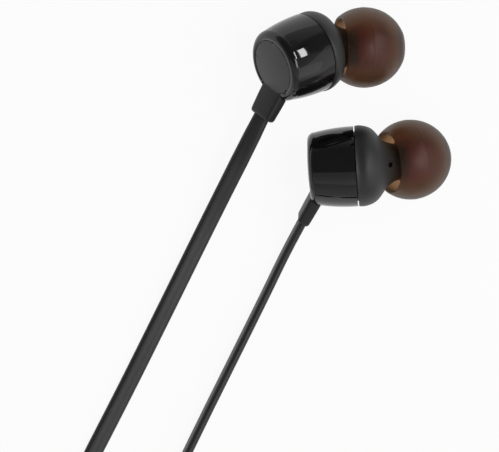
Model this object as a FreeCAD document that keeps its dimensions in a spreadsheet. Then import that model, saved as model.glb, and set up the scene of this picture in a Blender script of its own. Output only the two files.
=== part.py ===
# Wired in-ear earphones lying on a table: two mirrored earbuds on flat branch cords,
# a junction block where the branches join, the main cord wound into a neat coil,
# and a straight 3.5 mm jack plug. Millimetres, +Z up, the table top is Z = 0.
# The origin lies on the table under the middle of the two earbuds.

import FreeCAD, Part

import math
import os
import re

import Sketcher
from FreeCAD import Placement, Rotation, Vector

doc = FreeCAD.newDocument("wired_earphones")
sizes = doc.addObject("Spreadsheet::Sheet", "sizes")

# Driving sizes, in the order in which the object would be put together
DIMENSIONS = [
    # earbud housing, along its own axis: 0 is the seam, forward is towards the ear
    ("seam_radius", 6.05), ("seam_gap", 0.16), ("shell_wall", 0.8),
    ("shell_waist_x", 3.0), ("shell_waist_radius", 5.93),
    ("shell_tail_x", 5.9), ("shell_tail_radius", 5.5),
    ("rear_face_x", 7.0), ("rear_face_radius", 4.6), ("rear_corner_drop", 0.28),
    ("rear_wall", 0.7), ("cap_radius", 4.15), ("cap_seat_depth", 0.6), ("cap_crown", 0.2),
    ("cap_chamfer", 0.12), ("fit_gap", 0.04),
    # front cover: stations of the bell that bends into the nozzle
    ("bell_flat_x", 1.45), ("bell_flat_radius", 6.0),
    ("bell_shoulder_x", 2.65), ("bell_shoulder_radius", 5.5),
    ("bell_front_x", 3.45), ("bell_front_radius", 4.6),
    ("bell_throat_x", 3.95), ("bell_throat_radius", 3.8),
    ("nozzle_yaw", 25.2), ("nozzle_pitch", 4.0), ("nozzle_pivot_x", 2.1),
    ("neck_flare_at", 2.75), ("neck_flare_radius", 3.25),
    ("neck_start_at", 3.7), ("neck_radius", 2.9), ("neck_end_at", 5.0),
    ("barrel_radius", 2.3), ("barb_radius", 2.5), ("barb_start", 8.3),
    ("barb_length", 0.9), ("nozzle_end_at", 9.6), ("nozzle_bore_radius", 1.65),
    ("vent_radius", 0.35), ("vent_at", 1.6), ("vent_lift", 13.0),
    # driver: a dynamic capsule clamped across the seam
    ("frame_radius", 5.23), ("frame_wall", 0.75), ("frame_rear_x", 1.2), ("frame_front_x", 0.85),
    ("frame_web", 0.5), ("yoke_radius", 3.1), ("yoke_wall", 0.4), ("yoke_rear_x", 2.6),
    ("yoke_depth", 2.1), ("magnet_radius", 2.0), ("magnet_height", 1.1),
    ("pole_plate_radius", 2.1), ("pole_plate_height", 0.5),
    ("coil_inner_radius", 2.28), ("coil_wall", 0.2), ("coil_length", 1.4), ("coil_rear_x", 1.3),
    ("diaphragm_radius", 4.45), ("diaphragm_film", 0.12), ("dome_rise", 0.4),
    ("board_radius", 2.3), ("board_height", 0.5),
    ("screen_radius", 1.95), ("screen_height", 0.2), ("damper_height", 1.0), ("damper_gap", 0.1),
    # ear tip: a thin silicone dome bonded to an inner core that grips the nozzle
    ("tip_radius", 6.05), ("tip_centre_at", 6.75), ("tip_rim_radius", 4.76),
    ("tip_mouth_radius", 2.6), ("tip_front_drop", 0.35), ("tip_wall", 0.6),
    ("core_radius", 3.3), ("core_bore_radius", 2.56), ("core_start_gap", 0.12),
    ("core_mouth_radius", 1.9), ("core_mouth_gap", 0.35),
    # cable boot at the rear lower corner of the housing
    ("boot_exit_angle", 32.0), ("boot_root_x", 6.3), ("boot_root_drop", 4.5),
    ("boot_width", 4.4), ("boot_thickness", 1.9), ("boot_length", 4.4), ("boot_sunk", 0.4),
    ("boot_taper", 1.6), ("boot_corner", 0.75), ("boot_end_round", 0.3),
    ("wire_hole_radius", 0.62), ("wire_hole_depth", 1.9), ("knot_radius", 0.9),
    ("knot_length", 1.1), ("knot_at", 2.5), ("wire_radius", 0.2),
    # where the two earbuds lie, and how they are turned
    ("right_bud_x", 8.19), ("right_bud_y", 26.037), ("right_bud_height", 7.072),
    ("right_yaw", 19.35), ("right_pitch", 21.36), ("right_roll", -55.84),
    ("left_bud_x", 15.663), ("left_bud_y", 9.167), ("left_bud_height", 6.83),
    ("left_yaw", 4.92), ("left_pitch", -14.4), ("left_roll", -75.9),
    ("origin_x", 15.147), ("origin_y", 16.434),
    # flat cord, standing on its edge where it is wound
    ("cord_width", 2.7), ("cord_thickness", 1.2), ("turn_gap", 0.45),
    ("pair_turns", 2.236), ("pair_mid_radius", 13.5), ("pair_heading", 275.0),
    ("main_turns", 9.25), ("main_mid_radius", 14.25),
    # junction block where the two branches become the main cord
    ("junction_length", 9.0), ("junction_width", 5.4), ("junction_height", 4.2),
    ("junction_corner", 1.2), ("junction_edge", 0.4), ("junction_wall", 0.7),
    ("joint_block_length", 5.6), ("cord_grip", 1.5), ("cord_room", 0.08),
    # jack plug
    ("shaft_radius", 1.75), ("shaft_length", 14.0), ("contact_gap", 0.6), ("tip_length", 3.6),
    ("ring_length", 2.6), ("core_rod_radius", 0.7), ("tip_neck_radius", 1.25),
    ("collar_radius", 2.1), ("collar_length", 1.0),
    ("handle_radius", 2.8), ("handle_length", 15.0), ("handle_edge", 0.4),
    ("relief_radius", 2.4), ("relief_end_radius", 1.95), ("relief_length", 8.0),
    ("relief_groove", 0.25), ("plug_core_depth", 5.0),
]

ROW_OF = {}
for row, (alias, amount) in enumerate(DIMENSIONS, start=1):
    sizes.set(f"A{row}", alias)
    sizes.set(f"B{row}", str(amount))
    sizes.setAlias(f"B{row}", alias)
    ROW_OF[alias] = row
doc.recompute()

WORDS = re.compile(r"\b(" + "|".join(sorted(ROW_OF, key=len, reverse=True)) + r")\b")
pieces = {}


def bound(text):
    """An expression in sheet words, with each word pointing at its cell."""
    return WORDS.sub(r"sizes.\1", str(text))


def number(text):
    """The present value of an expression in sheet words."""
    value = sizes.evalExpression(WORDS.sub(r"\1", str(text)))
    return float(getattr(value, "Value", value))


def bind(thing, path, text):
    thing.setExpression(path, bound(text))


def new_body(label):
    body = doc.addObject("PartDesign::Body", label)
    body.Label = label
    pieces[label] = body
    return body


def plane_of(body, role):
    return next(o for o in body.Origin.OriginFeatures if o.Role == role)


def new_sketch(body, role, base=("0", "0", "0"), turn=(0, 0, 0)):
    """A sketch on one of the body's own planes, moved by sheet expressions."""
    sketch = body.newObject("Sketcher::SketchObject", "outline")
    sketch.AttachmentSupport = [(plane_of(body, role), "")]
    sketch.MapMode = "FlatFace"
    turned = Rotation(*[number(t) for t in turn])
    sketch.AttachmentOffset = Placement(Vector(*[number(b) for b in base]), turned)
    for axis, text in zip("xyz", base):
        bind(sketch, f"AttachmentOffset.Base.{axis}", text)
    return sketch


def pin_point(sketch, geometry, end, x, y):
    """Hold one sketch point at a place given by two expressions."""
    for kind, axis, text in (("DistanceX", -2, x), ("DistanceY", -1, y)):
        if str(text) == "0":
            sketch.addConstraint(Sketcher.Constraint("PointOnObject", geometry, end, axis))
            continue
        index = sketch.addConstraint(Sketcher.Constraint(kind, -1, 1, geometry, end, number(text)))
        bind(sketch, f"Constraints[{index}]", text)


def outline(sketch, corners):
    """A closed outline. A corner is (x, y), or (x, y, arc_x, arc_y) where the edge that
    leaves it is an arc through the second point."""
    spots = [Vector(number(c[0]), number(c[1]), 0) for c in corners]
    count = len(corners)
    for i, corner in enumerate(corners):
        a = spots[i]
        b = spots[(i + 1) % count]
        if len(corner) == 4:
            middle = Vector(number(corner[2]), number(corner[3]), 0)
            sketch.addGeometry(Part.Arc(a, middle, b))
        else:
            sketch.addGeometry(Part.LineSegment(a, b))
    ends = []
    for i in range(count):
        curve = sketch.Geometry[i]
        forward = curve.StartPoint.distanceToPoint(spots[i]) < 1e-6
        ends.append((1, 2) if forward else (2, 1))
    for i in range(count):
        following = (i + 1) % count
        sketch.addConstraint(Sketcher.Constraint("Coincident", i, ends[i][1], following, ends[following][0]))
        pin_point(sketch, i, ends[i][0], corners[i][0], corners[i][1])
    for i, corner in enumerate(corners):
        if len(corner) == 4:
            through = Part.Point(Vector(number(corner[2]), number(corner[3]), 0))
            mark = sketch.addGeometry(through, True)
            pin_point(sketch, mark, 1, corner[2], corner[3])
            sketch.addConstraint(Sketcher.Constraint("PointOnObject", mark, 1, i))


def circle(sketch, radius, x="0", y="0"):
    index = sketch.addGeometry(Part.Circle(Vector(number(x), number(y), 0), Vector(0, 0, 1), number(radius)))
    pin_point(sketch, index, 3, x, y)
    held = sketch.addConstraint(Sketcher.Constraint("Radius", index, number(radius)))
    bind(sketch, f"Constraints[{held}]", radius)


def spin(body, corners, cut=False, base=("0", "0", "0"), turn=(0, 0, 0)):
    """Turn an outline about the sketch's own long axis, as an added or a cut shape."""
    sketch = new_sketch(body, "XY_Plane", base, turn)
    outline(sketch, corners)
    feature = body.newObject("PartDesign::Groove" if cut else "PartDesign::Revolution", "turned")
    feature.Profile = sketch
    feature.ReferenceAxis = (sketch, ["H_Axis"])
    feature.Angle = 360.0
    doc.recompute()
    return feature


def raise_outline(body, draw, height, role="XY_Plane", base=("0", "0", "0"), turn=(0, 0, 0), cut=False):
    """Pad or pocket a drawn sketch. A pocket cuts against the sketch's normal."""
    sketch = new_sketch(body, role, base, turn)
    draw(sketch)
    feature = body.newObject("PartDesign::Pocket" if cut else "PartDesign::Pad", "raised")
    feature.Profile = sketch
    bind(feature, "Length", height)
    doc.recompute()
    return feature


def rectangle(width, depth, x="0", y="0"):
    """A drawing of a rectangle centred on a point."""
    left = f"{x} - ({width}) / 2"
    right = f"{x} + ({width}) / 2"
    low = f"{y} - ({depth}) / 2"
    high = f"{y} + ({depth}) / 2"
    return lambda sketch: outline(sketch, [(left, low), (right, low), (right, high), (left, high)])


def dress(body, kind, edges, size):
    """Fillet or chamfer chosen edges of the body's last feature."""
    base = body.Tip
    feature = body.newObject(f"PartDesign::{kind}", kind.lower())
    feature.Base = (base, edges)
    bind(feature, "Radius" if kind == "Fillet" else "Size", size)
    doc.recompute()
    return feature


def edges_where(shape, test):
    return [f"Edge{i}" for i, edge in enumerate(shape.Edges, start=1) if test(edge)]


# Places. An earbud's own frame has X towards the ear and Z away from its cable.
shift = Placement(Vector(-number("origin_x"), -number("origin_y"), 0), Rotation())
SIDES = {"left": 1, "right": -1}


def bud_place(side):
    spot = Vector(number(f"{side}_bud_x"), number(f"{side}_bud_y"), number(f"{side}_bud_height"))
    turned = Rotation(number(f"{side}_yaw"), number(f"{side}_pitch"), number(f"{side}_roll"))
    return shift * Placement(spot, turned)


def nozzle_turn(side):
    return Rotation(SIDES[side] * number("nozzle_yaw"), number("nozzle_pitch"), 0)


def nozzle_place(side):
    """The nozzle's frame: X along the nozzle from the point where its axis meets the bud's."""
    pivot = Placement(Vector(number("nozzle_pivot_x"), 0, 0), nozzle_turn(side))
    return bud_place(side) * pivot


def rear_shell(side):
    """Glossy rear cup: barrel-shaped wall, round corner and a seat for the cap."""
    body = new_body(f"{side}_rear_shell")
    seat = "-(rear_face_x - cap_seat_depth)"
    floor = f"{seat} + rear_wall"
    inner = "seam_radius - shell_wall"
    spin(body, [
        ("0", "seam_radius", "-shell_waist_x", "shell_waist_radius"),
        ("-shell_tail_x", "shell_tail_radius",
         "-(rear_face_x - rear_corner_drop)", "(shell_tail_radius + rear_face_radius) / 2 + rear_corner_drop / 3"),
        ("-rear_face_x", "rear_face_radius"),
        ("-rear_face_x", "cap_radius + fit_gap"),
        (seat, "cap_radius + fit_gap"),
        (seat, "0"),
        (floor, "0"),
        (floor, "shell_tail_radius - 2 * shell_wall"),
        (f"{floor} + shell_wall", "shell_tail_radius - shell_wall"),
        ("-(frame_rear_x + 2 * fit_gap)", inner),
        ("0", inner),
    ])
    cut_for_boot(body, "fit_gap")
    raise_outline(
        body, lambda s: circle(s, "wire_hole_radius"), "wire_hole_depth",
        base=boot_station("-boot_sunk"), turn=boot_turn(), cut=True)
    body.Placement = bud_place(side)


def boot_turn():
    """Turns a sketch's normal along the cable's way out, its X axis across the bud."""
    return Rotation(Vector(0, 1, 0), 180 + number("boot_exit_angle")).multiply(
        Rotation(Vector(0, 0, 1), 90)).toEuler()


def boot_station(distance):
    """A point on the boot's axis, counted outwards from its root."""
    back = "sin(boot_exit_angle * 1deg)"
    down = "cos(boot_exit_angle * 1deg)"
    return (f"-boot_root_x - ({distance}) * {back}", "0", f"-boot_root_drop - ({distance}) * {down}")


def cut_for_boot(body, room):
    """The flat slot at the rear lower corner that the boot plugs into."""
    before = body.Shape.Volume
    raise_outline(
        body, rectangle(f"boot_width + 2 * ({room})", f"boot_thickness + 2 * ({room})"),
        f"boot_length + boot_sunk + {room}",
        base=boot_station("boot_length"), turn=boot_turn(), cut=True)
    print(body.Label, "boot slot takes", round(before - body.Shape.Volume, 2), "cubic mm")


def rear_cap(side):
    """Bare, slightly crowned disc in the rear of the shell."""
    body = new_body(f"{side}_rear_cap")
    seat = "-(rear_face_x - cap_seat_depth)"
    spin(body, [
        (seat, "0"),
        (seat, "cap_radius"),
        ("-(rear_face_x - cap_chamfer)", "cap_radius"),
        ("-rear_face_x", "cap_radius - cap_chamfer", "-(rear_face_x + cap_crown * 0.75)", "cap_radius / 2"),
        ("-(rear_face_x + cap_crown)", "cap_radius * 0.08"),
        ("-(rear_face_x + cap_crown)", "0"),
    ])
    body.Placement = bud_place(side)


def bell_stations(side):
    """Centre, tilt share and radius of each round section of the front cover."""
    yaw = SIDES[side] * number("nozzle_yaw")
    straight = [("seam_gap", 0.0, "seam_radius - 0.03"), ("bell_flat_x", 0.0, "bell_flat_radius"),
                ("bell_shoulder_x", 0.12, "bell_shoulder_radius"), ("bell_front_x", 0.35, "bell_front_radius"),
                ("bell_throat_x", 0.65, "bell_throat_radius")]
    along = [("neck_flare_at", "neck_flare_radius"), ("neck_start_at", "neck_radius"),
             ("neck_end_at", "neck_radius")]
    stations = []
    for at, share, radius in straight:
        run = f"max({at} - nozzle_pivot_x; 0)"
        sideways = f"{run} * {share} * tan({yaw / abs(yaw):.0f} * nozzle_yaw * 1deg)"
        down = f"-{run} * {share} * tan(nozzle_pitch * 1deg)"
        stations.append(((at, sideways, down), share, radius))
    flat = "cos(nozzle_pitch * 1deg)"
    for at, radius in along:
        centre = (f"nozzle_pivot_x + {at} * {flat} * cos(nozzle_yaw * 1deg)",
                  f"{SIDES[side]} * {at} * {flat} * sin(nozzle_yaw * 1deg)",
                  f"-{at} * sin(nozzle_pitch * 1deg)")
        stations.append((centre, 1.0, radius))
    return stations


def along_x(turned):
    """Euler angles that point a sketch's normal along the turned X axis."""
    return turned.multiply(Rotation(Vector(0, 1, 0), 90)).toEuler()


def front_cover(side):
    """Matte front: a bell that bends into the angled nozzle, hollow, with a barb for the ear tip."""
    body = new_body(f"{side}_front_cover")
    rings = []
    for centre, share, radius in bell_stations(side):
        turned = Rotation(share * SIDES[side] * number("nozzle_yaw"), share * number("nozzle_pitch"), 0)
        sketch = new_sketch(body, "XY_Plane", centre, along_x(turned))
        circle(sketch, radius)
        rings.append(sketch)
    bell = body.newObject("PartDesign::AdditiveLoft", "bell")
    bell.Profile = rings[0]
    bell.Sections = rings[1:]
    bell.Ruled = False
    doc.recompute()
    pivot = ("nozzle_pivot_x", "0", "0")
    turned = (SIDES[side] * number("nozzle_yaw"), number("nozzle_pitch"), 0)
    spin(body, [
        ("neck_end_at - 0.3", "0"),
        ("neck_end_at - 0.3", "barrel_radius"),
        ("barb_start - (barb_radius - barrel_radius)", "barrel_radius"),
        ("barb_start", "barb_radius"),
        ("barb_start + barb_length", "barb_radius"),
        ("nozzle_end_at", "barrel_radius"),
        ("nozzle_end_at", "0"),
    ], base=pivot, turn=turned)
    inner = "seam_radius - shell_wall"
    spin(body, [
        ("0", "0"),
        ("0", inner),
        ("bell_flat_x - 0.1", inner),
        ("bell_front_x - shell_wall", "bell_front_radius - shell_wall - 0.5"),
        ("bell_front_x - shell_wall", "0"),
    ], cut=True)
    spin(body, [
        ("0", "0"),
        ("0", "nozzle_bore_radius"),
        ("nozzle_end_at - screen_height - fit_gap", "nozzle_bore_radius"),
        ("nozzle_end_at - screen_height - fit_gap", "screen_radius + fit_gap"),
        ("nozzle_end_at + 1", "screen_radius + fit_gap"),
        ("nozzle_end_at + 1", "0"),
    ], cut=True, base=pivot, turn=turned)
    # the small pressure vent on the side of the neck away from the nozzle's lean
    lift = math.radians(number("vent_lift"))
    vent_way = nozzle_turn(side).multVec(Vector(0, -SIDES[side] * math.cos(lift), math.sin(lift)))
    centre = Vector(number("nozzle_pivot_x"), 0, 0) + nozzle_turn(side).multVec(Vector(number("vent_at"), 0, 0))
    outside = centre + vent_way * (number("neck_flare_radius") + 1.5)
    turned = Rotation(Vector(0, 0, 1), vent_way).toEuler()
    before = body.Shape.Volume
    raise_outline(body, lambda s: circle(s, "vent_radius"), "neck_flare_radius",
                  base=tuple(str(round(v, 6)) for v in outside), turn=turned, cut=True)
    print(body.Label, "vent takes", round(before - body.Shape.Volume, 3), "cubic mm")
    body.Placement = bud_place(side)


def driver_frame(side):
    body = new_body(f"{side}_driver_frame")
    spin(body, [
        ("-frame_rear_x", "yoke_radius + fit_gap / 2"),
        ("-frame_rear_x", "frame_radius"),
        ("frame_front_x", "frame_radius"),
        ("frame_front_x", "frame_radius - frame_wall"),
        ("-(frame_rear_x - frame_web)", "frame_radius - frame_wall"),
        ("-(frame_rear_x - frame_web)", "yoke_radius + fit_gap / 2"),
    ])
    body.Placement = bud_place(side)


def driver_yoke(side):
    body = new_body(f"{side}_driver_yoke")
    spin(body, [
        ("-yoke_rear_x", "0"),
        ("-yoke_rear_x", "yoke_radius"),
        ("-(yoke_rear_x - yoke_depth)", "yoke_radius"),
        ("-(yoke_rear_x - yoke_depth)", "yoke_radius - yoke_wall"),
        ("-(yoke_rear_x - yoke_wall)", "yoke_radius - yoke_wall"),
        ("-(yoke_rear_x - yoke_wall)", "0"),
    ])
    body.Placement = bud_place(side)


def disc(side, name, rear, height, radius, on_nozzle=False):
    """A plain round piece on the bud's axis or the nozzle's."""
    body = new_body(f"{side}_{name}")
    spin(body, [(rear, "0"), (rear, radius), (f"{rear} + {height}", radius), (f"{rear} + {height}", "0")])
    body.Placement = nozzle_place(side) if on_nozzle else bud_place(side)


def voice_coil(side):
    body = new_body(f"{side}_voice_coil")
    spin(body, [
        ("-coil_rear_x", "coil_inner_radius"),
        ("-coil_rear_x", "coil_inner_radius + coil_wall"),
        ("-coil_rear_x + coil_length", "coil_inner_radius + coil_wall"),
        ("-coil_rear_x + coil_length", "coil_inner_radius"),
    ])
    body.Placement = bud_place(side)


def diaphragm(side):
    """Film with a raised middle and a raised surround, glued to the frame at its edge."""
    body = new_body(f"{side}_diaphragm")
    seat = "coil_length - coil_rear_x"
    edge = "(coil_inner_radius + coil_wall)"
    roll = f"({edge} + diaphragm_radius) / 2"
    steps = [
        (f"{seat} + dome_rise", "0"),
        (f"{seat} + dome_rise", f"{edge} * 0.4"),
        (f"{seat} + dome_rise * 0.6", f"{edge} * 0.75"),
        (seat, edge),
        (f"{seat} + dome_rise * 0.6", f"{roll} - 0.35"),
        (f"{seat} + dome_rise * 0.6", f"{roll} + 0.35"),
        (seat, "diaphragm_radius"),
    ]
    spin(body, steps + [(f"{x} + diaphragm_film", y) for x, y in reversed(steps)])
    body.Placement = bud_place(side)


def cable_boot(side):
    """Flat tapered rubber sleeve that carries the cord out of the housing."""
    body = new_body(f"{side}_cable_boot")
    pad = raise_outline(
        body, rectangle("boot_width", "boot_thickness"), "boot_length + boot_sunk",
        base=boot_station("-boot_sunk"), turn=boot_turn())
    bind(pad, "TaperAngle", "-boot_taper")
    doc.recompute()
    out = Vector(-math.sin(math.radians(number("boot_exit_angle"))), 0,
                 -math.cos(math.radians(number("boot_exit_angle"))))

    def lengthwise(edge):
        way = edge.tangentAt(edge.FirstParameter)
        return abs(way.dot(out)) > 0.9

    dress(body, "Fillet", edges_where(body.Shape, lengthwise), "boot_corner")
    far = max(v.Point.dot(out) for v in body.Shape.Vertexes)
    dress(body, "Fillet", edges_where(
        body.Shape, lambda e: all(abs(v.Point.dot(out) - far) < 1e-4 for v in e.Vertexes)), "boot_end_round")
    # room for the cap's round edge, for the wires, and for the end of the flat cord
    spin(body, [
        ("-(rear_face_x + 2)", "0"),
        ("-(rear_face_x + 2)", "cap_radius + fit_gap"),
        ("-(rear_face_x - cap_seat_depth)", "cap_radius + fit_gap"),
        ("-(rear_face_x - cap_seat_depth)", "0"),
    ], cut=True)
    raise_outline(body, lambda s: circle(s, "wire_hole_radius"), "boot_length + 2 * boot_sunk",
                  base=boot_station("boot_length"), turn=boot_turn(), cut=True)
    raise_outline(body, rectangle("cord_width + 2 * cord_room", "cord_thickness + 2 * cord_room"),
                  "cord_grip + cord_room", base=boot_station("boot_length"), turn=boot_turn(), cut=True)
    body.Placement = bud_place(side)


def wire_knot(side):
    """The wires where they leave the cord's jacket, with the knot that keeps them inside."""
    body = new_body(f"{side}_wire_knot")
    raise_outline(body, lambda s: circle(s, "knot_radius"), "knot_length",
                  base=boot_station("-(knot_at + knot_length)"), turn=boot_turn())
    dress(body, "Fillet", edges_where(body.Shape, lambda e: e.Length < 8 and len(e.Vertexes) == 1),
          "knot_radius * 0.45")
    raise_outline(body, lambda s: circle(s, "wire_radius"), "knot_at + 0.1 + boot_length - cord_grip - cord_room",
                  base=boot_station("-(knot_at + 0.1)"), turn=boot_turn())
    body.Placement = bud_place(side)


def tip_dome(side):
    """Thin silicone dome, open at the rear, with a flattened nose round the core. Its thin
    curved wall is turned straight from points, from sizes read off the sheet."""
    middle = number("tip_centre_at")
    radius = number("tip_radius")
    wall = number("tip_wall")
    rim = number("tip_rim_radius")
    mouth = number("tip_mouth_radius")
    joint = number("core_radius + fit_gap / 2")
    rear = middle - math.sqrt(radius ** 2 - rim ** 2)
    nose = middle + radius - number("tip_front_drop")
    round_end = math.radians(52)
    shoulder = Vector(middle + radius * math.sin(round_end), radius * math.cos(round_end), 0)
    inner_rim = Vector(rear - 0.05, rim - 0.75 * wall, 0)
    inner_top = Vector(middle, radius - wall, 0)
    inner_front = Vector(nose - 1.9 * wall, joint, 0)
    half = math.radians(26)
    edges = [
        Part.Arc(Vector(rear, rim, 0), Vector(middle, radius, 0), shoulder).toShape(),
        Part.Arc(shoulder, Vector(nose - 0.16, (shoulder.y + mouth) / 2 + 0.2, 0), Vector(nose, mouth, 0)).toShape(),
        Part.LineSegment(Vector(nose, mouth, 0), Vector(nose - wall, mouth, 0)).toShape(),
        Part.LineSegment(Vector(nose - wall, mouth, 0), Vector(nose - wall, joint, 0)).toShape(),
        Part.LineSegment(Vector(nose - wall, joint, 0), inner_front).toShape(),
        Part.Arc(inner_front, inner_point(middle, radius - wall, half), inner_top).toShape(),
        Part.Arc(inner_top, inner_point(middle, radius - wall, -half), inner_rim).toShape(),
        Part.LineSegment(inner_rim, Vector(rear, rim, 0)).toShape(),
    ]
    face = Part.Face(Part.Wire(edges))
    feature = doc.addObject("Part::Feature", f"{side}_ear_tip_dome")
    feature.Label = f"{side}_ear_tip_dome"
    feature.Shape = face.revolve(Vector(0, 0, 0), Vector(1, 0, 0), 360)
    feature.Placement = nozzle_place(side)
    pieces[feature.Label] = feature


def inner_point(middle, radius, angle):
    """A point of the dome's inner face, counted from its widest place towards the nose."""
    return Vector(middle + radius * math.sin(angle), radius * math.cos(angle), 0)


def tip_core(side):
    """Firm inner tube of the ear tip: wide where it grips the barb, narrower at the mouth."""
    body = new_body(f"{side}_ear_tip_core")
    nose = "tip_centre_at + tip_radius - tip_front_drop - tip_wall - fit_gap"
    step = "nozzle_end_at + core_mouth_gap"
    spin(body, [
        ("neck_end_at + core_start_gap", "core_bore_radius"),
        ("neck_end_at + core_start_gap", "core_radius"),
        (nose, "core_radius"),
        (nose, "core_mouth_radius"),
        (step, "core_mouth_radius"),
        (step, "core_bore_radius"),
    ])
    body.Placement = nozzle_place(side)


# Cords. Each is one unbroken tube of flat section along straight runs and tangent arcs.

def flat_section(at, way, broad):
    """Closed outline with round edges, square to way, its long side along broad."""
    way = Vector(way).normalize()
    broad = (broad - way * broad.dot(way)).normalize()
    thin = way.cross(broad)
    half = number("cord_thickness") / 2
    reach = number("cord_width") / 2 - half
    corner = [at + broad * (reach * i) + thin * (half * j) for i, j in ((-1, -1), (1, -1), (1, 1), (-1, 1))]
    return Part.Wire([
        Part.LineSegment(corner[0], corner[1]).toShape(),
        Part.Arc(corner[1], at + broad * (reach + half), corner[2]).toShape(),
        Part.LineSegment(corner[2], corner[3]).toShape(),
        Part.Arc(corner[3], at - broad * (reach + half), corner[0]).toShape(),
    ])


def section_area():
    thickness = number("cord_thickness")
    return (number("cord_width") - thickness) * thickness + math.pi * thickness ** 2 / 4


def rounded_path(points):
    """Straight runs joined by arcs; each arc takes 0.45 of the shorter run beside it."""
    edges = []
    radii = []
    at = points[0]
    for before, corner, after in zip(points, points[1:], points[2:]):
        back = (before - corner)
        ahead = (after - corner)
        reach = 0.45 * min(back.Length, ahead.Length)
        half_turn = (math.pi - back.getAngle(ahead)) / 2
        radius = reach / math.tan(half_turn)
        radii.append(radius)
        start = corner + Vector(back).normalize() * reach
        end = corner + Vector(ahead).normalize() * reach
        towards = (Vector(back).normalize() + Vector(ahead).normalize()).normalize()
        depth = radius * (1 / math.cos(half_turn) - 1)
        edges.append(Part.LineSegment(at, start).toShape())
        edges.append(Part.Arc(start, corner + towards * depth, end).toShape())
        at = end
    edges.append(Part.LineSegment(at, points[-1]).toShape())
    return Part.Wire(edges), radii


def swept(path, section):
    sweep = Part.BRepOffsetAPI.MakePipeShell(path)
    sweep.add(section)
    if not sweep.isReady():
        raise ValueError("a cord's path and section don't fit together")
    sweep.build()
    sweep.makeSolid()
    return sweep.shape()


def report_tube(label, shape, length):
    wanted = section_area() * length
    print(f"{label}: length {length:.1f} mm, volume {shape.Volume:.1f}, section times length {wanted:.1f}")


def keep_shape(label, shape):
    feature = doc.addObject("Part::Feature", label)
    feature.Label = label
    feature.Shape = shape
    feature.Placement = shift
    pieces[label] = feature
    return feature


def turning(start, end, broad_start, broad_end, steps, rise=False):
    """Stations along a straight stretch of flat cord that turns about its own axis, each
    with its place, its way on and its broad direction. Where it rises from lying flat to
    standing on edge it lifts just as much as its corner needs."""
    way = Vector(end.x - start.x, end.y - start.y, 0 if rise else end.z - start.z).normalize()
    angle = broad_start.getAngle(broad_end)
    if broad_start.cross(broad_end).dot(way) < 0:
        angle = -angle
    stations = []
    for i in range(steps + 1):
        share = i / steps
        turned = Rotation(way, math.degrees(angle * share)).multVec(broad_start)
        at = start + (end - start) * share
        if rise:
            at.z = start.z + (end.z - start.z) * math.sin(abs(angle) * share)
        stations.append((at, way, turned))
    return stations


def lying(path, side, spacing):
    """Stations along a path for a flat cord that lies on its broad face."""
    stations = []
    for edge in path.Edges:
        count = max(2, round(edge.Length / spacing))
        first, last = edge.ParameterRange
        for i in range(1, count + 1):
            parameter = first + (last - first) * i / count
            way = edge.tangentAt(parameter)
            stations.append((edge.valueAt(parameter), way, square_to(way, UP.cross(way)) * side))
    return stations


def square_to(way, wanted):
    """The part of wanted that is square to way."""
    way = Vector(way).normalize()
    return (wanted - way * wanted.dot(way)).normalize()


UP = Vector(0, 0, 1)


def biarc(start, start_way, end, end_way):
    """Two tangent arcs from one point and direction to another, as edges."""
    chord = end - start
    both = start_way + end_way
    k = 2 * (1 - start_way.dot(end_way))
    if abs(k) < 1e-9:
        reach = chord.Length / 2
    else:
        b = 2 * chord.dot(both)
        reach = (-b + math.sqrt(b * b + 4 * k * chord.dot(chord))) / (2 * k)
    a = start + start_way * reach
    c = end - end_way * reach
    join = (a + c) * 0.5
    return [arc_from(start, start_way, join), arc_from(join, (c - a).normalize(), end)]


def arc_from(start, way, end):
    """The arc from start, leaving along way, to end."""
    chord = end - start
    across = square_to(way, chord) if way.cross(chord).Length > 1e-7 * chord.Length else None
    if across is None:
        return Part.LineSegment(start, end).toShape()
    radius = chord.dot(chord) / (2 * across.dot(chord))
    centre = start + across * radius
    towards = (start + chord * 0.5 - centre).normalize()
    if way.dot(chord) < 0:
        towards = towards * -1
    return Part.Arc(start, centre + towards * abs(radius), end).toShape()


def ease(share):
    share = min(max(share, 0.0), 1.0)
    return share * share * (3 - 2 * share)


# A coil changes layer in half a turn, CLIMB turns to either side of its middle
CLIMB = 0.25
EXTRA_IN = 0.28


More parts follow.
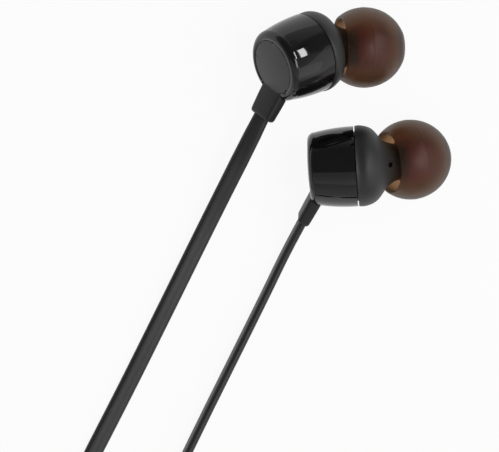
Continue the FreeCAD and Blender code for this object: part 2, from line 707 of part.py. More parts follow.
class Winding:
    """A cord wound in on one layer and out on the next, anticlockwise seen from above."""

    def __init__(self, centre, outer, pitch, turns, first_angle):
        self.centre = centre
        self.outer = outer
        self.pitch = pitch
        self.turns = turns
        self.first_angle = first_angle
        self.low = number("cord_width") / 2
        self.step = number("cord_width + turn_gap")

    def point(self, turn):
        middle = self.turns / 2
        off = abs(turn - middle)
        if off >= 3 * CLIMB:
            inward = middle - off
        else:
            # clear of both layers, one full step further in, before it climbs
            u = min((3 * CLIMB - off) / (2 * CLIMB), 1.0)
            slow = (u ** 3 - 2 * u ** 2 + u) * 2 * CLIMB
            inward = middle - 3 * CLIMB + slow + ease(u) * (3 * CLIMB + EXTRA_IN)
        radius = self.outer - self.pitch * inward
        height = self.low + self.step * ease((turn - middle + CLIMB) / (2 * CLIMB))
        angle = math.radians(self.first_angle + 360 * turn)
        return self.centre + Vector(radius * math.cos(angle), radius * math.sin(angle), height)

    def way(self, turn):
        if turn <= 0 or turn >= self.turns:
            angle = math.radians(self.first_angle + 360 * turn)
            return Vector(-math.sin(angle), math.cos(angle), 0)
        small = 1e-4
        return (self.point(turn + small) - self.point(turn - small)).normalize()

    def path(self, lead_in, lead_out):
        """Quarter turns as pairs of arcs, between two straight ends."""
        count = round(self.turns * 4)
        marks = [self.turns * i / count for i in range(count + 1)]
        start = self.point(0)
        edges = [Part.LineSegment(start - self.way(0) * lead_in, start).toShape()]
        for a, b in zip(marks, marks[1:]):
            edges += biarc(self.point(a), self.way(a), self.point(b), self.way(b))
        end = self.point(self.turns)
        edges.append(Part.LineSegment(end, end + self.way(self.turns) * lead_out).toShape())
        return Part.Wire(edges)

    def least_gap(self, path):
        """Clear distance between neighbouring turns, measured on points of the path."""
        spots = path.discretize(Number=int(path.Length))
        gap = 1e9
        for i, a in enumerate(spots):
            for b in spots[i + 30:]:
                apart = a - b
                level = math.hypot(apart.x, apart.y) - number("cord_thickness")
                upright = abs(apart.z) - number("cord_width")
                gap = min(gap, max(level, upright))
        return gap


def coil_piece(label, winding, lead_in, lead_out):
    path = winding.path(lead_in, lead_out)
    start = winding.point(0) - winding.way(0) * lead_in
    shape = swept(path, flat_section(start, winding.way(0), UP))
    report_tube(label, shape, path.Length)
    radii = [e.Curve.Radius for e in path.Edges if hasattr(e.Curve, "Radius")]
    print(f"{label}: {winding.turns} turns, least radius {min(radii):.1f}, least gap {winding.least_gap(path):.2f} mm")
    keep_shape(label, shape)
    return path.Length


def boot_end(side):
    """Where a branch cord leaves its boot, and which way, before the shift to the origin."""
    place = shift.inverse() * bud_place(side)
    angle = math.radians(number("boot_exit_angle"))
    way = Vector(-math.sin(angle), 0, -math.cos(angle))
    root = Vector(-number("boot_root_x"), 0, -number("boot_root_drop"))
    return (place.multVec(root + way * number("boot_length")), place.Rotation.multVec(way),
            place.Rotation.multVec(Vector(0, 1, 0)))


def free_tube(label, points, broad):
    path, radii = rounded_path(points)
    shape = swept(path, flat_section(points[0], points[1] - points[0], broad))
    print(f"{label}: arc radii {', '.join(f'{r:.0f}' for r in radii)}")
    return shape, path.Length


# The table plan, chosen by hand: where each coil is centred and where its cords lie.
PAIR_CENTRE = (-8.3, -74.8)
MAIN_CENTRE_X = 30.0
JUNCTION_START_X = 8.5
PLUG_START_Y = -53.4
COIL_LEAD = 3.0


def pair_windings():
    """The two branch cords side by side in one coil: the right one outside the left one."""
    beside = number("cord_thickness + turn_gap")
    pitch = 2 * beside
    turns = number("pair_turns")
    # half of what the pair spirals through, so that the mean turn has the stated radius
    outer = number("pair_mid_radius") + (pitch * (turns / 2 + EXTRA_IN) + beside) / 2
    centre = Vector(*PAIR_CENTRE, 0)
    angle = number("pair_heading") - 90
    return {"right": Winding(centre, outer, pitch, turns, angle),
            "left": Winding(centre, outer - beside, pitch, turns, angle)}


def main_winding(line_y):
    """The main cord's own coil, entered from the junction's line."""
    pitch = number("cord_thickness + turn_gap")
    turns = number("main_turns")
    outer = number("main_mid_radius") + pitch * (turns / 2 + EXTRA_IN) / 2
    return Winding(Vector(MAIN_CENTRE_X, line_y + outer, 0), outer, pitch, turns, 270.0)


def right_free(winding):
    """From the right boot down to the table, turning from the boot's slant to flat, straight
    on as photographed, then on to its edge before the coil."""
    end_of_boot, _, slant = boot_end("right")
    seen_way = Vector(-0.385, -0.891, -0.2436).normalize()
    begin = end_of_boot - seen_way * number("cord_grip")
    first = end_of_boot + seen_way * 10
    flat = square_to(seen_way, UP.cross(seen_way))
    broad = square_to(seen_way, slant)
    if broad.dot(flat) < 0:
        flat = flat * -1
    entry = winding.point(0) - winding.way(0) * COIL_LEAD
    twist_start = entry - winding.way(0) * 14
    twist_start.z = number("cord_thickness") / 2
    flat_height = number("cord_thickness") / 2
    meet = meeting_point(Vector(-22.48, -34.35, 0), Vector(-0.457, -0.889, 0), entry, winding.way(0))
    route = [first, first + seen_way * 8, Vector(-12.25, -13.4, 1.15), Vector(-18.2, -25.85, flat_height),
             Vector(meet.x, meet.y, flat_height), twist_start]
    path, radii = rounded_path(route)
    print(f"right_cord_free: arc radii {', '.join(f'{r:.0f}' for r in radii)}")
    side = 1 if flat.dot(UP.cross(seen_way)) > 0 else -1
    last_flat = square_to(winding.way(0), UP.cross(winding.way(0))) * side
    stations = turning(begin, first, broad, flat, 5)
    stations += lying(path, side, 2.4)
    stations += turning(twist_start, entry, last_flat, UP, 7, rise=True)[1:]
    shape = Part.makeLoft([flat_section(*station) for station in stations], True, False)
    length = path.Length + (first - begin).Length + (entry - twist_start).Length
    report_tube("right_cord_free", shape, length)
    keep_shape("right_cord_free", shape)
    return length


def meeting_point(a, way_a, b, way_b):
    """Where two lines on the table cross, seen from above."""
    spread = way_a.x * way_b.y - way_a.y * way_b.x
    along = ((b.x - a.x) * way_b.y - (b.y - a.y) * way_b.x) / spread
    return Vector(a.x + way_a.x * along, a.y + way_a.y * along, 0)


def left_free(winding):
    """From the left boot straight on along the table on its edge, as photographed, to the coil."""
    end_of_boot, way, _ = boot_end("left")
    height = number("cord_width") / 2
    begin = end_of_boot - way * number("cord_grip")
    touch = end_of_boot + way * ((end_of_boot.z - height) / -way.z)
    entry = winding.point(0) - winding.way(0) * COIL_LEAD
    edge_of_view = Vector(-8.36, -34.46, height)
    onward = (edge_of_view - touch).normalize()
    meet = meeting_point(edge_of_view, onward, entry, winding.way(0))
    meet.z = height
    route = [begin, touch, Vector(3.2, -10.95, height), edge_of_view,
             Vector(-15.45, -49.9, height), meet, entry]
    shape, length = free_tube("left_cord_free", route, UP)
    report_tube("left_cord_free", shape, length)
    keep_shape("left_cord_free", shape)
    return length


def tails(windings):
    """From the pair's coil down to the junction, side by side."""
    axis = number("junction_height") / 2
    lengths = {}
    for side, winding in windings.items():
        start = winding.point(winding.turns) + winding.way(winding.turns) * COIL_LEAD
        y = start.y
        route = [start, Vector(start.x + 3.4, y, start.z), Vector(start.x + 9.9, y, axis),
                 Vector(JUNCTION_START_X + number("cord_grip"), y, axis)]
        shape, length = free_tube(f"{side}_cord_tail", route, UP)
        report_tube(f"{side}_cord_tail", shape, length)
        keep_shape(f"{side}_cord_tail", shape)
        lengths[side] = length
    return lengths


def main_lead(winding, line_y):
    axis = number("junction_height") / 2
    height = number("cord_width") / 2
    out = JUNCTION_START_X + number("junction_length")
    end = winding.point(0) - winding.way(0) * COIL_LEAD
    route = [Vector(out - number("cord_grip"), line_y, axis), Vector(out + 2.9, line_y, axis),
             Vector(out + 6.4, line_y, height), Vector(end.x, line_y, height)]
    shape, length = free_tube("main_cord_lead", route, UP)
    report_tube("main_cord_lead", shape, length)
    keep_shape("main_cord_lead", shape)
    return length


def main_tail(winding):
    """Down from the coil's upper layer and straight on into the plug."""
    start = winding.point(winding.turns) + winding.way(winding.turns) * COIL_LEAD
    axis = number("handle_radius")
    route = [start, Vector(start.x, start.y + 3.2, start.z), Vector(start.x, start.y + 9.2, axis),
             Vector(start.x, PLUG_START_Y + number("cord_grip"), axis)]
    shape, length = free_tube("main_cord_tail", route, UP)
    report_tube("main_cord_tail", shape, length)
    keep_shape("main_cord_tail", shape)
    return length


def junction_shell(name, line_y, flipped):
    """Half of the block where the branches join; the other half is the same, turned over."""
    body = new_body(name)
    half = "junction_height / 2"
    raise_outline(body, rectangle("junction_length", "junction_width"), half, base=("0", "0", f"-{half}"))
    dress(body, "Fillet", edges_where(body.Shape, lambda e: abs(e.tangentAt(e.FirstParameter).z) > 0.9),
          "junction_corner")
    bottom = -number(half)
    dress(body, "Fillet", edges_where(
        body.Shape, lambda e: all(abs(v.Z - bottom) < 1e-4 for v in e.Vertexes)), "junction_edge")
    depth = "cord_width / 2 + cord_room"
    room = "junction_length - 2 * cord_grip"
    raise_outline(body, rectangle(room, "junction_width - 2 * junction_wall"), depth, cut=True)
    end = "(junction_length - cord_grip) / 2"
    raise_outline(body, rectangle("cord_grip + 0.1", "2 * cord_thickness + turn_gap + 2 * cord_room",
                                  f"-({end}) - 0.01"), depth, cut=True)
    raise_outline(body, rectangle("cord_grip + 0.1", "cord_thickness + 2 * cord_room", f"{end} + 0.01"),
                  depth, cut=True)
    body.Placement = junction_place(line_y) * Placement(Vector(), Rotation(Vector(1, 0, 0), 180 if flipped else 0))


def junction_place(line_y):
    middle = Vector(JUNCTION_START_X + number("junction_length") / 2, line_y, number("junction_height") / 2)
    return shift * Placement(middle, Rotation())


def joint_block(line_y):
    """Moulded block round the soldered wires, between the junction's shells."""
    body = new_body("junction_core")
    width = "junction_width - 2 * junction_wall - 2 * cord_room"
    raise_outline(body, rectangle("joint_block_length", width), "cord_width", base=("0", "0", "-cord_width / 2"))
    dress(body, "Chamfer", edges_where(body.Shape, lambda e: abs(e.tangentAt(e.FirstParameter).z) > 0.9), "0.3")
    body.Placement = junction_place(line_y)


def plug_place(winding):
    """In line with the coil's end, with the plug's tip towards +Y."""
    return shift * Placement(Vector(winding.point(winding.turns).x, PLUG_START_Y, number("handle_radius")),
                             Rotation(Vector(0, 0, 1), 90))


def turned_piece(name, corners, place):
    body = new_body(name)
    spin(body, corners)
    body.Placement = place
    return body


def jack_plug(place):
    """The plug's own frame: X from the cord to the tip, 0 at the cord's end of the sleeve."""
    front = "relief_length + handle_length"
    bore = "core_rod_radius + fit_gap"
    relief = turned_piece("plug_strain_relief", [
        ("0", "0"),
        ("0", "relief_end_radius - 0.25"),
        ("0.25", "relief_end_radius"),
        ("relief_length * 0.32", "relief_end_radius + 0.12"),
        ("relief_length * 0.32", "relief_end_radius + 0.12 - relief_groove"),
        ("relief_length * 0.42", "relief_end_radius + 0.16 - relief_groove"),
        ("relief_length * 0.42", "relief_end_radius + 0.16"),
        ("relief_length * 0.64", "relief_end_radius + 0.28"),
        ("relief_length * 0.64", "relief_end_radius + 0.28 - relief_groove"),
        ("relief_length * 0.74", "relief_end_radius + 0.32 - relief_groove"),
        ("relief_length * 0.74", "relief_end_radius + 0.32"),
        ("relief_length", "relief_radius"),
        ("relief_length", "0"),
    ], place)
    raise_outline(relief, rectangle("cord_width + 2 * cord_room", "cord_thickness + 2 * cord_room"),
                  "cord_grip + cord_room", base=("0", "0", "0"), turn=PLUG_SOCKET, cut=True)
    turned_piece("plug_handle", [
        ("relief_length", "0"),
        ("relief_length", "handle_radius - handle_edge"),
        ("relief_length + handle_edge", "handle_radius"),
        (f"{front} - handle_edge", "handle_radius"),
        (front, "handle_radius - handle_edge"),
        (front, "collar_radius + fit_gap"),
        (f"{front} - plug_core_depth", "collar_radius + fit_gap"),
        (f"{front} - plug_core_depth", "0"),
    ], place)
    sleeve_end = f"{front} + collar_length + shaft_length - tip_length - ring_length - 2 * contact_gap"
    tip_start = f"{front} + collar_length + shaft_length - tip_length"
    turned_piece("plug_sleeve_contact", [
        (f"{front} - plug_core_depth + fit_gap", bore),
        (f"{front} - plug_core_depth + fit_gap", "collar_radius"),
        (f"{front} + collar_length", "collar_radius"),
        (f"{front} + collar_length", "shaft_radius"),
        (sleeve_end, "shaft_radius"),
        (sleeve_end, bore),
    ], place)
    ring_start = f"{sleeve_end} + contact_gap"
    for name, start in (("plug_rear_spacer", sleeve_end), ("plug_front_spacer", f"{ring_start} + ring_length")):
        turned_piece(name, [
            (start, bore),
            (start, "shaft_radius"),
            (f"{start} + contact_gap", "shaft_radius"),
            (f"{start} + contact_gap", bore),
        ], place)
    turned_piece("plug_ring_contact", [
        (ring_start, bore),
        (ring_start, "shaft_radius"),
        (f"{ring_start} + ring_length", "shaft_radius"),
        (f"{ring_start} + ring_length", bore),
    ], place)
    turned_piece("plug_tip_contact", [
        (tip_start, bore),
        (tip_start, "tip_neck_radius + 0.1"),
        (f"{tip_start} + tip_length * 0.25", "tip_neck_radius"),
        (f"{tip_start} + tip_length * 0.5", "shaft_radius"),
        (f"{tip_start} + tip_length * 0.62", "shaft_radius"),
        (f"{tip_start} + tip_length * 0.9", "shaft_radius * 0.55"),
        (f"{tip_start} + tip_length", "shaft_radius * 0.25"),
        (f"{tip_start} + tip_length", "0"),
        (f"{tip_start} + tip_length * 0.7", "0"),
        (f"{tip_start} + tip_length * 0.7", bore),
    ], place)
    turned_piece("plug_core_rod", [
        (f"{front} - plug_core_depth + fit_gap", "0"),
        (f"{front} - plug_core_depth + fit_gap", "core_rod_radius"),
        (f"{tip_start} + tip_length * 0.7 - fit_gap", "core_rod_radius"),
        (f"{tip_start} + tip_length * 0.7 - fit_gap", "0"),
    ], place)


# A sketch plane square to the plug's axis whose normal points out of the cord's end
PLUG_SOCKET = Rotation(Vector(0, 1, 0), -90).toEuler()


def build_earbud(side):
    rear_shell(side)
    rear_cap(side)
    front_cover(side)
    driver_frame(side)
    driver_yoke(side)
    disc(side, "driver_magnet", "-(yoke_rear_x - yoke_wall)", "magnet_height", "magnet_radius")
    disc(side, "driver_pole_plate", "-(yoke_rear_x - yoke_wall - magnet_height)",
         "pole_plate_height", "pole_plate_radius")
    disc(side, "terminal_board", "-(yoke_rear_x + board_height)", "board_height", "board_radius")
    disc(side, "nozzle_screen", "(nozzle_end_at - screen_height)", "screen_height", "screen_radius", True)
    disc(side, "nozzle_damper", "(nozzle_end_at - screen_height - fit_gap - damper_gap - damper_height)",
         "damper_height", "nozzle_bore_radius - fit_gap", True)
    voice_coil(side)
    diaphragm(side)
    cable_boot(side)
    wire_knot(side)
    tip_dome(side)
    tip_core(side)


for side in SIDES:
    build_earbud(side)

windings = pair_windings()
pair_line_y = (windings["right"].point(windings["right"].turns).y
               + windings["left"].point(windings["left"].turns).y) / 2
free_lengths = {"right": right_free(windings["right"]), "left": left_free(windings["left"])}
tail_lengths = tails(windings)
for side, winding in windings.items():
    wound = coil_piece(f"{side}_cord_coil", winding, COIL_LEAD, COIL_LEAD)
    total = free_lengths[side] + wound + tail_lengths[side]
    print(f"{side} branch from inside its boot to inside the junction: {total:.1f} mm")

junction_shell("junction_lower_shell", pair_line_y, False)
junction_shell("junction_upper_shell", pair_line_y, True)
joint_block(pair_line_y)

main = main_winding(pair_line_y)
main_total = main_lead(main, pair_line_y)
main_total += coil_piece("main_cord_coil", main, COIL_LEAD, COIL_LEAD)
main_total += main_tail(main)
print(f"main cord from inside the junction to inside the plug: {main_total:.1f} mm")
jack_plug(plug_place(main))

doc.recompute()
for thing in doc.Objects:
    if "Invalid" in thing.State or "Error" in thing.State:
        owner = thing.getParentGeoFeatureGroup()
        raise ValueError(f"{owner.Label if owner else ''} {thing.Label} could not be built")
for label, piece in pieces.items():
    if piece.Shape.isNull() or not piece.Shape.isValid() or len(piece.Shape.Solids) != 1:
        raise ValueError(f"{label} is not one sound solid")

# The origin is right when the middle of the earbuds' box comes out at 0, 0 and its floor at 0
SOFT = ("cord", "plug", "junction")
box = FreeCAD.BoundBox()
for label, piece in pieces.items():
    if not any(word in label for word in SOFT):
        box.add(piece.Shape.optimalBoundingBox(False, False))
print(f"earbuds' box: x {box.XMin:.3f} to {box.XMax:.3f}, y {box.YMin:.3f} to {box.YMax:.3f}, floor {box.ZMin:.3f}")

os.makedirs("parts", exist_ok=True)
for label, piece in pieces.items():
    piece.Shape.exportStep(f"parts/{label}.step")
print(f"{len(pieces)} pieces written")
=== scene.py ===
"""Wired in-ear earphones on a pale table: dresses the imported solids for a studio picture."""

import math

import bpy
from mathutils import Matrix, Vector


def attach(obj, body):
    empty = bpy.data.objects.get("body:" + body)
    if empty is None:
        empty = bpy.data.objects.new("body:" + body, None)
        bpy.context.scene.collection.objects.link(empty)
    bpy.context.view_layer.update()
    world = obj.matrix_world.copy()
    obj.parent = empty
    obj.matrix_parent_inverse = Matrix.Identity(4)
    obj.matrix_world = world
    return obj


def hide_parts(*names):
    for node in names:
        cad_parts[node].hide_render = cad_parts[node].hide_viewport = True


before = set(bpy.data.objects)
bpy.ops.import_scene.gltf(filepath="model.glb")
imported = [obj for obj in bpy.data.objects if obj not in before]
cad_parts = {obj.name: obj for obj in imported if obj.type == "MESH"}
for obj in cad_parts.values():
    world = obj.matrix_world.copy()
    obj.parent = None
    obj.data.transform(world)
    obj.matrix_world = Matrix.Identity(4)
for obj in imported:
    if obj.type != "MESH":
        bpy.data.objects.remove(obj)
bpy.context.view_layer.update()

bl_info = {
    "name": "Wired Earphones",
    "version": (1, 0, 0),
    "blender": (4, 5, 0),
    "location": "3D View > Sidebar > Earphones",
    "description": "Builds the earbuds, ear tips, flat cords, junction, plug and studio",
    "category": "Object",
}

MM = 0.001
SIDES = ("left", "right")

# Where each bud lies and how it is turned, and how its nozzle bends off it, in millimetres and degrees
BUD_TURN = {"left": (4.92, -14.4, -75.9), "right": (19.35, 21.36, -55.84)}
BUD_PLACE = {"left": (0.516, -7.267, 6.83), "right": (-6.957, 9.603, 7.072)}
NOZZLE_TURN = {"left": (25.2, 4.0), "right": (-25.2, 4.0)}
NOZZLE_PIVOT = 2.1


# Places in the row frame

def turned(yaw, pitch, roll=0.0):
    """The turn of a bud or nozzle, in degrees about Z, then Y, then X."""
    return (Matrix.Rotation(math.radians(yaw), 4, "Z") @ Matrix.Rotation(math.radians(pitch), 4, "Y")
            @ Matrix.Rotation(math.radians(roll), 4, "X"))


def bud_frame(side):
    """From a bud's own millimetres, with X towards the ear, to the row frame in metres."""
    return Matrix.Scale(MM, 4) @ Matrix.Translation(BUD_PLACE[side]) @ turned(*BUD_TURN[side])


def nozzle_frame(side):
    """From a nozzle's own millimetres, with X along its bore, to the row frame in metres."""
    return bud_frame(side) @ Matrix.Translation((NOZZLE_PIVOT, 0, 0)) @ turned(*NOZZLE_TURN[side])


# Small helpers for modelling by hand

def deselect():
    if bpy.context.object and bpy.context.object.mode != "OBJECT":
        bpy.ops.object.mode_set(mode="OBJECT")
    bpy.ops.object.select_all(action="DESELECT")


def pick(obj):
    deselect()
    obj.select_set(True)
    bpy.context.view_layer.objects.active = obj


def lathe(name, profile, place, steps):
    """Turns an outline of (along, out) points, in millimetres, about the place's X axis."""
    deselect()
    bpy.ops.mesh.primitive_plane_add(size=1, location=(0, 0, 0))
    piece = bpy.context.object
    piece.name = name
    bpy.ops.object.mode_set(mode="EDIT")
    bpy.ops.mesh.select_mode(type="VERT")
    bpy.ops.mesh.merge(type="CENTER")
    bpy.ops.mesh.select_all(action="SELECT")
    bpy.ops.transform.translate(value=(profile[0][0], profile[0][1], 0))
    for before, after in zip(profile, profile[1:]):
        step = (after[0] - before[0], after[1] - before[1], 0)
        bpy.ops.mesh.extrude_region_move(TRANSFORM_OT_translate={"value": step})
    bpy.ops.mesh.select_all(action="SELECT")
    bpy.ops.mesh.remove_doubles(threshold=0.0005)
    bpy.ops.mesh.spin(steps=steps, angle=2 * math.pi, center=(0, 0, 0), axis=(1, 0, 0))
    bpy.ops.mesh.select_all(action="SELECT")
    bpy.ops.mesh.remove_doubles(threshold=0.001)
    bpy.ops.mesh.normals_make_consistent(inside=False)
    bpy.ops.object.mode_set(mode="OBJECT")
    piece.data.transform(place)
    smooth(piece)
    return piece


def smooth(piece, angle=32):
    pick(piece)
    bpy.ops.object.shade_smooth_by_angle(angle=math.radians(angle))


def arc(centre, radius, start, end, count, stretch=1.0):
    """Points of an outline's round part, stretched along; angles in degrees from the along direction."""
    spots = []
    for i in range(count + 1):
        angle = math.radians(start + (end - start) * i / count)
        spots.append((centre[0] + radius * stretch * math.cos(angle), centre[1] + radius * math.sin(angle)))
    return spots


def dressed_copy(node, material, angle=32):
    """Dresses a CAD node in a copy of its own shape, its doubles merged and its curves shaded smooth."""
    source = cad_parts[node]
    pick(source)
    bpy.ops.object.duplicate()
    piece = bpy.context.object
    for key in list(piece.keys()):
        if key.startswith("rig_"):
            del piece[key]
    piece.name = node + "_skin"
    piece.parent = None
    bpy.ops.object.mode_set(mode="EDIT")
    bpy.ops.mesh.select_all(action="SELECT")
    bpy.ops.mesh.remove_doubles(threshold=1e-6)
    bpy.ops.object.mode_set(mode="OBJECT")
    smooth(piece, angle)
    settle(piece, material, "earphones", node)


def settle(piece, material, body, *nodes):
    """Gives a finished piece its finish and its body, and hides the solids it stands for."""
    piece.data.materials.clear()
    piece.data.materials.append(material)
    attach(piece, body)
    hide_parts(*nodes)


# Shared surface effects

def new_group(name, inputs, outputs):
    """An empty group of shader nodes with its named inputs and outputs."""
    group = bpy.data.node_groups.new(name, "ShaderNodeTree")
    for label, kind, value in inputs:
        socket = group.interface.new_socket(name=label, in_out="INPUT", socket_type=kind)
        socket.default_value = value
    for label, kind in outputs:
        group.interface.new_socket(name=label, in_out="OUTPUT", socket_type=kind)
    return group, group.nodes.new("NodeGroupInput"), group.nodes.new("NodeGroupOutput")


def moulded_grain():
    """Fine grain of moulded plastic or rubber: uneven roughness and a slight bump."""
    group, start, end = new_group(
        "moulded_grain",
        [("Scale", "NodeSocketFloat", 9000.0), ("Roughness", "NodeSocketFloat", 0.4),
         ("Variation", "NodeSocketFloat", 0.06), ("Bump", "NodeSocketFloat", 0.05)],
        [("Roughness", "NodeSocketFloat"), ("Normal", "NodeSocketVector")])
    nodes = group.nodes
    link = group.links.new
    place = nodes.new("ShaderNodeTexCoord")
    noise = nodes.new("ShaderNodeTexNoise")
    noise.inputs["Detail"].default_value = 3.0
    link(place.outputs["Object"], noise.inputs["Vector"])
    link(start.outputs["Scale"], noise.inputs["Scale"])
    swing = nodes.new("ShaderNodeMath")
    swing.operation = "SUBTRACT"
    swing.inputs[1].default_value = 0.5
    link(noise.outputs["Fac"], swing.inputs[0])
    amount = nodes.new("ShaderNodeMath")
    amount.operation = "MULTIPLY_ADD"
    link(swing.outputs[0], amount.inputs[0])
    link(start.outputs["Variation"], amount.inputs[1])
    link(start.outputs["Roughness"], amount.inputs[2])
    bump = nodes.new("ShaderNodeBump")
    bump.inputs["Distance"].default_value = 0.00002
    link(start.outputs["Bump"], bump.inputs["Strength"])
    link(noise.outputs["Fac"], bump.inputs["Height"])
    link(amount.outputs[0], end.inputs["Roughness"])
    link(bump.outputs["Normal"], end.inputs["Normal"])


def soft_mottle():
    """Slow drift between two close tones, as on handled rubber and tinted silicone."""
    group, start, end = new_group(
        "soft_mottle",
        [("Scale", "NodeSocketFloat", 300.0), ("Light Tone", "NodeSocketColor", (0.1, 0.1, 0.1, 1)),
         ("Dark Tone", "NodeSocketColor", (0.02, 0.02, 0.02, 1))],
        [("Color", "NodeSocketColor")])
    nodes = group.nodes
    link = group.links.new
    place = nodes.new("ShaderNodeTexCoord")
    noise = nodes.new("ShaderNodeTexNoise")
    noise.inputs["Detail"].default_value = 2.0
    link(place.outputs["Object"], noise.inputs["Vector"])
    link(start.outputs["Scale"], noise.inputs["Scale"])
    mix = nodes.new("ShaderNodeMix")
    mix.data_type = "RGBA"
    link(noise.outputs["Fac"], mix.inputs["Factor"])
    link(start.outputs["Dark Tone"], mix.inputs["A"])
    link(start.outputs["Light Tone"], mix.inputs["B"])
    link(mix.outputs["Result"], end.inputs["Color"])


def finish_of(name, tone, roughness, grain=9000.0, variation=0.06, bump=0.05, metal=0.0,
              transmission=0.0, ior=1.5, spread=0.25, mottle=300.0):
    """A material of one tone with the shared grain and mottle; plain numbers sit on the shader."""
    material = bpy.data.materials.new(f"{name}_finish")
    material.use_nodes = True
    nodes = material.node_tree.nodes
    link = material.node_tree.links.new
    shader = nodes["Principled BSDF"]
    shader.inputs["Metallic"].default_value = metal
    shader.inputs["IOR"].default_value = ior
    shader.inputs["Transmission Weight"].default_value = transmission
    surface = nodes.new("ShaderNodeGroup")
    surface.node_tree = bpy.data.node_groups["moulded_grain"]
    surface.inputs["Scale"].default_value = grain
    surface.inputs["Roughness"].default_value = roughness
    surface.inputs["Variation"].default_value = variation
    surface.inputs["Bump"].default_value = bump
    link(surface.outputs["Roughness"], shader.inputs["Roughness"])
    link(surface.outputs["Normal"], shader.inputs["Normal"])
    drift = nodes.new("ShaderNodeGroup")
    drift.node_tree = bpy.data.node_groups["soft_mottle"]
    drift.inputs["Scale"].default_value = mottle
    drift.inputs["Light Tone"].default_value = [min(1.0, c * (1 + spread)) for c in tone] + [1]
    drift.inputs["Dark Tone"].default_value = [c * (1 - spread) for c in tone] + [1]
    link(drift.outputs["Color"], shader.inputs["Base Color"])
    return material


def painted_rim_shade(material, least):
    """Paints shade into the tint where a clear wall is seen edge on, down to a least share, and keeps the
    shine low.
    """
    nodes = material.node_tree.nodes
    link = material.node_tree.links.new
    shader = nodes["Principled BSDF"]
    tint = shader.inputs["Base Color"].links[0].from_socket
    # Painted shade: the tint falls with the facing angle, darkest where the wall is seen edge on
    facing = nodes.new("ShaderNodeLayerWeight")
    facing.inputs["Blend"].default_value = 0.5
    fall = nodes.new("ShaderNodeMapRange")
    fall.interpolation_type = "SMOOTHSTEP"
    fall.inputs["From Min"].default_value = 0.15
    fall.inputs["From Max"].default_value = 0.9
    fall.inputs["To Min"].default_value = 1.0
    fall.inputs["To Max"].default_value = least
    link(facing.outputs["Facing"], fall.inputs["Value"])
    deeper = nodes.new("ShaderNodeVectorMath")
    deeper.operation = "SCALE"
    link(tint, deeper.inputs[0])
    link(fall.outputs["Result"], deeper.inputs["Scale"])
    link(deeper.outputs["Vector"], shader.inputs["Base Color"])
    shader.inputs["Specular IOR Level"].default_value = 0.15


def make_finishes(look):
    """Makes the finishes of all pieces, each with its own roughness, grain and bump."""
    moulded_grain()
    soft_mottle()
    finish_of("gloss_shell", look.shell_tone, 0.045, grain=2500, variation=0.02, bump=0.002)
    finish_of("satin_cap", look.cap_tone, 0.38, grain=12000, variation=0.08, bump=0.06)
    finish_of("matte_front", look.front_tone, 0.5, grain=16000, variation=0.1, bump=0.16)
    finish_of("boot_rubber", look.boot_tone, 0.5, grain=14000, variation=0.1, bump=0.12)
    finish_of("cord_jacket", look.cord_tone, 0.46, grain=11000, variation=0.1, bump=0.08)
    silicone = finish_of("tip_silicone", look.tip_tone, 0.44, grain=5000, bump=0.02,
                         transmission=0.96, ior=1.41, spread=0.1, mottle=160)
    finish_of("core_silicone", look.core_tone, 0.38, grain=5000, bump=0.03, spread=0.12)
    finish_of("block_plastic", (0.022, 0.022, 0.023), 0.34, bump=0.08)
    finish_of("plug_plastic", (0.02, 0.02, 0.021), 0.3, bump=0.06)
    finish_of("contact_metal", (0.78, 0.66, 0.42), 0.2, grain=3000, variation=0.08, bump=0.01,
              metal=1.0, spread=0.05)
    finish_of("bare_steel", (0.55, 0.55, 0.56), 0.32, grain=6000, variation=0.12, bump=0.04,
              metal=1.0, spread=0.08)
    finish_of("wound_copper", (0.72, 0.34, 0.16), 0.35, grain=8000, bump=0.2, metal=1.0, spread=0.1)
    finish_of("film_clear", (0.6, 0.58, 0.5), 0.25, bump=0.02)
    finish_of("board_green", (0.03, 0.16, 0.06), 0.4, bump=0.03)
    finish_of("foam_grey", (0.12, 0.12, 0.12), 0.9, grain=5000, bump=0.8)
    finish_of("inner_black", (0.03, 0.03, 0.03), 0.5, bump=0.1)
    # Painted shade darkens the ear tips' tint towards their edge-on outline
    painted_rim_shade(silicone, least=0.16)


INNER_FINISH = {
    "driver_frame": "inner_black", "driver_yoke": "bare_steel", "driver_magnet": "bare_steel",
    "driver_pole_plate": "bare_steel", "voice_coil": "wound_copper", "diaphragm": "film_clear",
    "terminal_board": "board_green", "nozzle_damper": "foam_grey", "nozzle_screen": "bare_steel",
    "wire_knot": "wound_copper", "junction_core": "inner_black", "plug_core_rod": "bare_steel",
    "plug_rear_spacer": "inner_black", "plug_front_spacer": "inner_black",
}


def finish(name):
    return bpy.data.materials[f"{name}_finish"]


# Cords: flat jackets swept along smooth splines

# Height of a cord's middle in a coil's lower layer, and the rise to the upper one, in millimetres
LOW = 1.35
LAYER = 3.15
# The turns to either side of a coil's middle in which it climbs, and in which it swings inwards; how much
# further in it swings than a plain spiral, in steps of the pitch; and its control points to a turn
CLIMB = 0.25
SWING = 3 * CLIMB
EXTRA_IN = 0.28
COIL_POINTS = 20


def coil_points(centre, outer, pitch, turns, first_angle):
    """Control points of a coil wound in on the table and out on top of itself, in millimetres."""
    points = []
    count = round(turns * COIL_POINTS)
    middle = turns / 2
    for i in range(count + 1):
        turn = turns * i / count
        off = abs(turn - middle)
        if off >= SWING:
            inward = middle - off
        else:
            u = min((SWING - off) / (2 * CLIMB), 1.0)
            slow = (u ** 3 - 2 * u ** 2 + u) * 2 * CLIMB
            inward = middle - SWING + slow + u * u * (3 - 2 * u) * (SWING + EXTRA_IN)
        radius = outer - pitch * inward
        share = min(max((turn - middle + CLIMB) / (2 * CLIMB), 0.0), 1.0)
        height = LOW + LAYER * share * share * (3 - 2 * share)
        angle = math.radians(first_angle + 360 * turn)
        points.append((centre[0] + radius * math.cos(angle), centre[1] + radius * math.sin(angle), height))
    return points


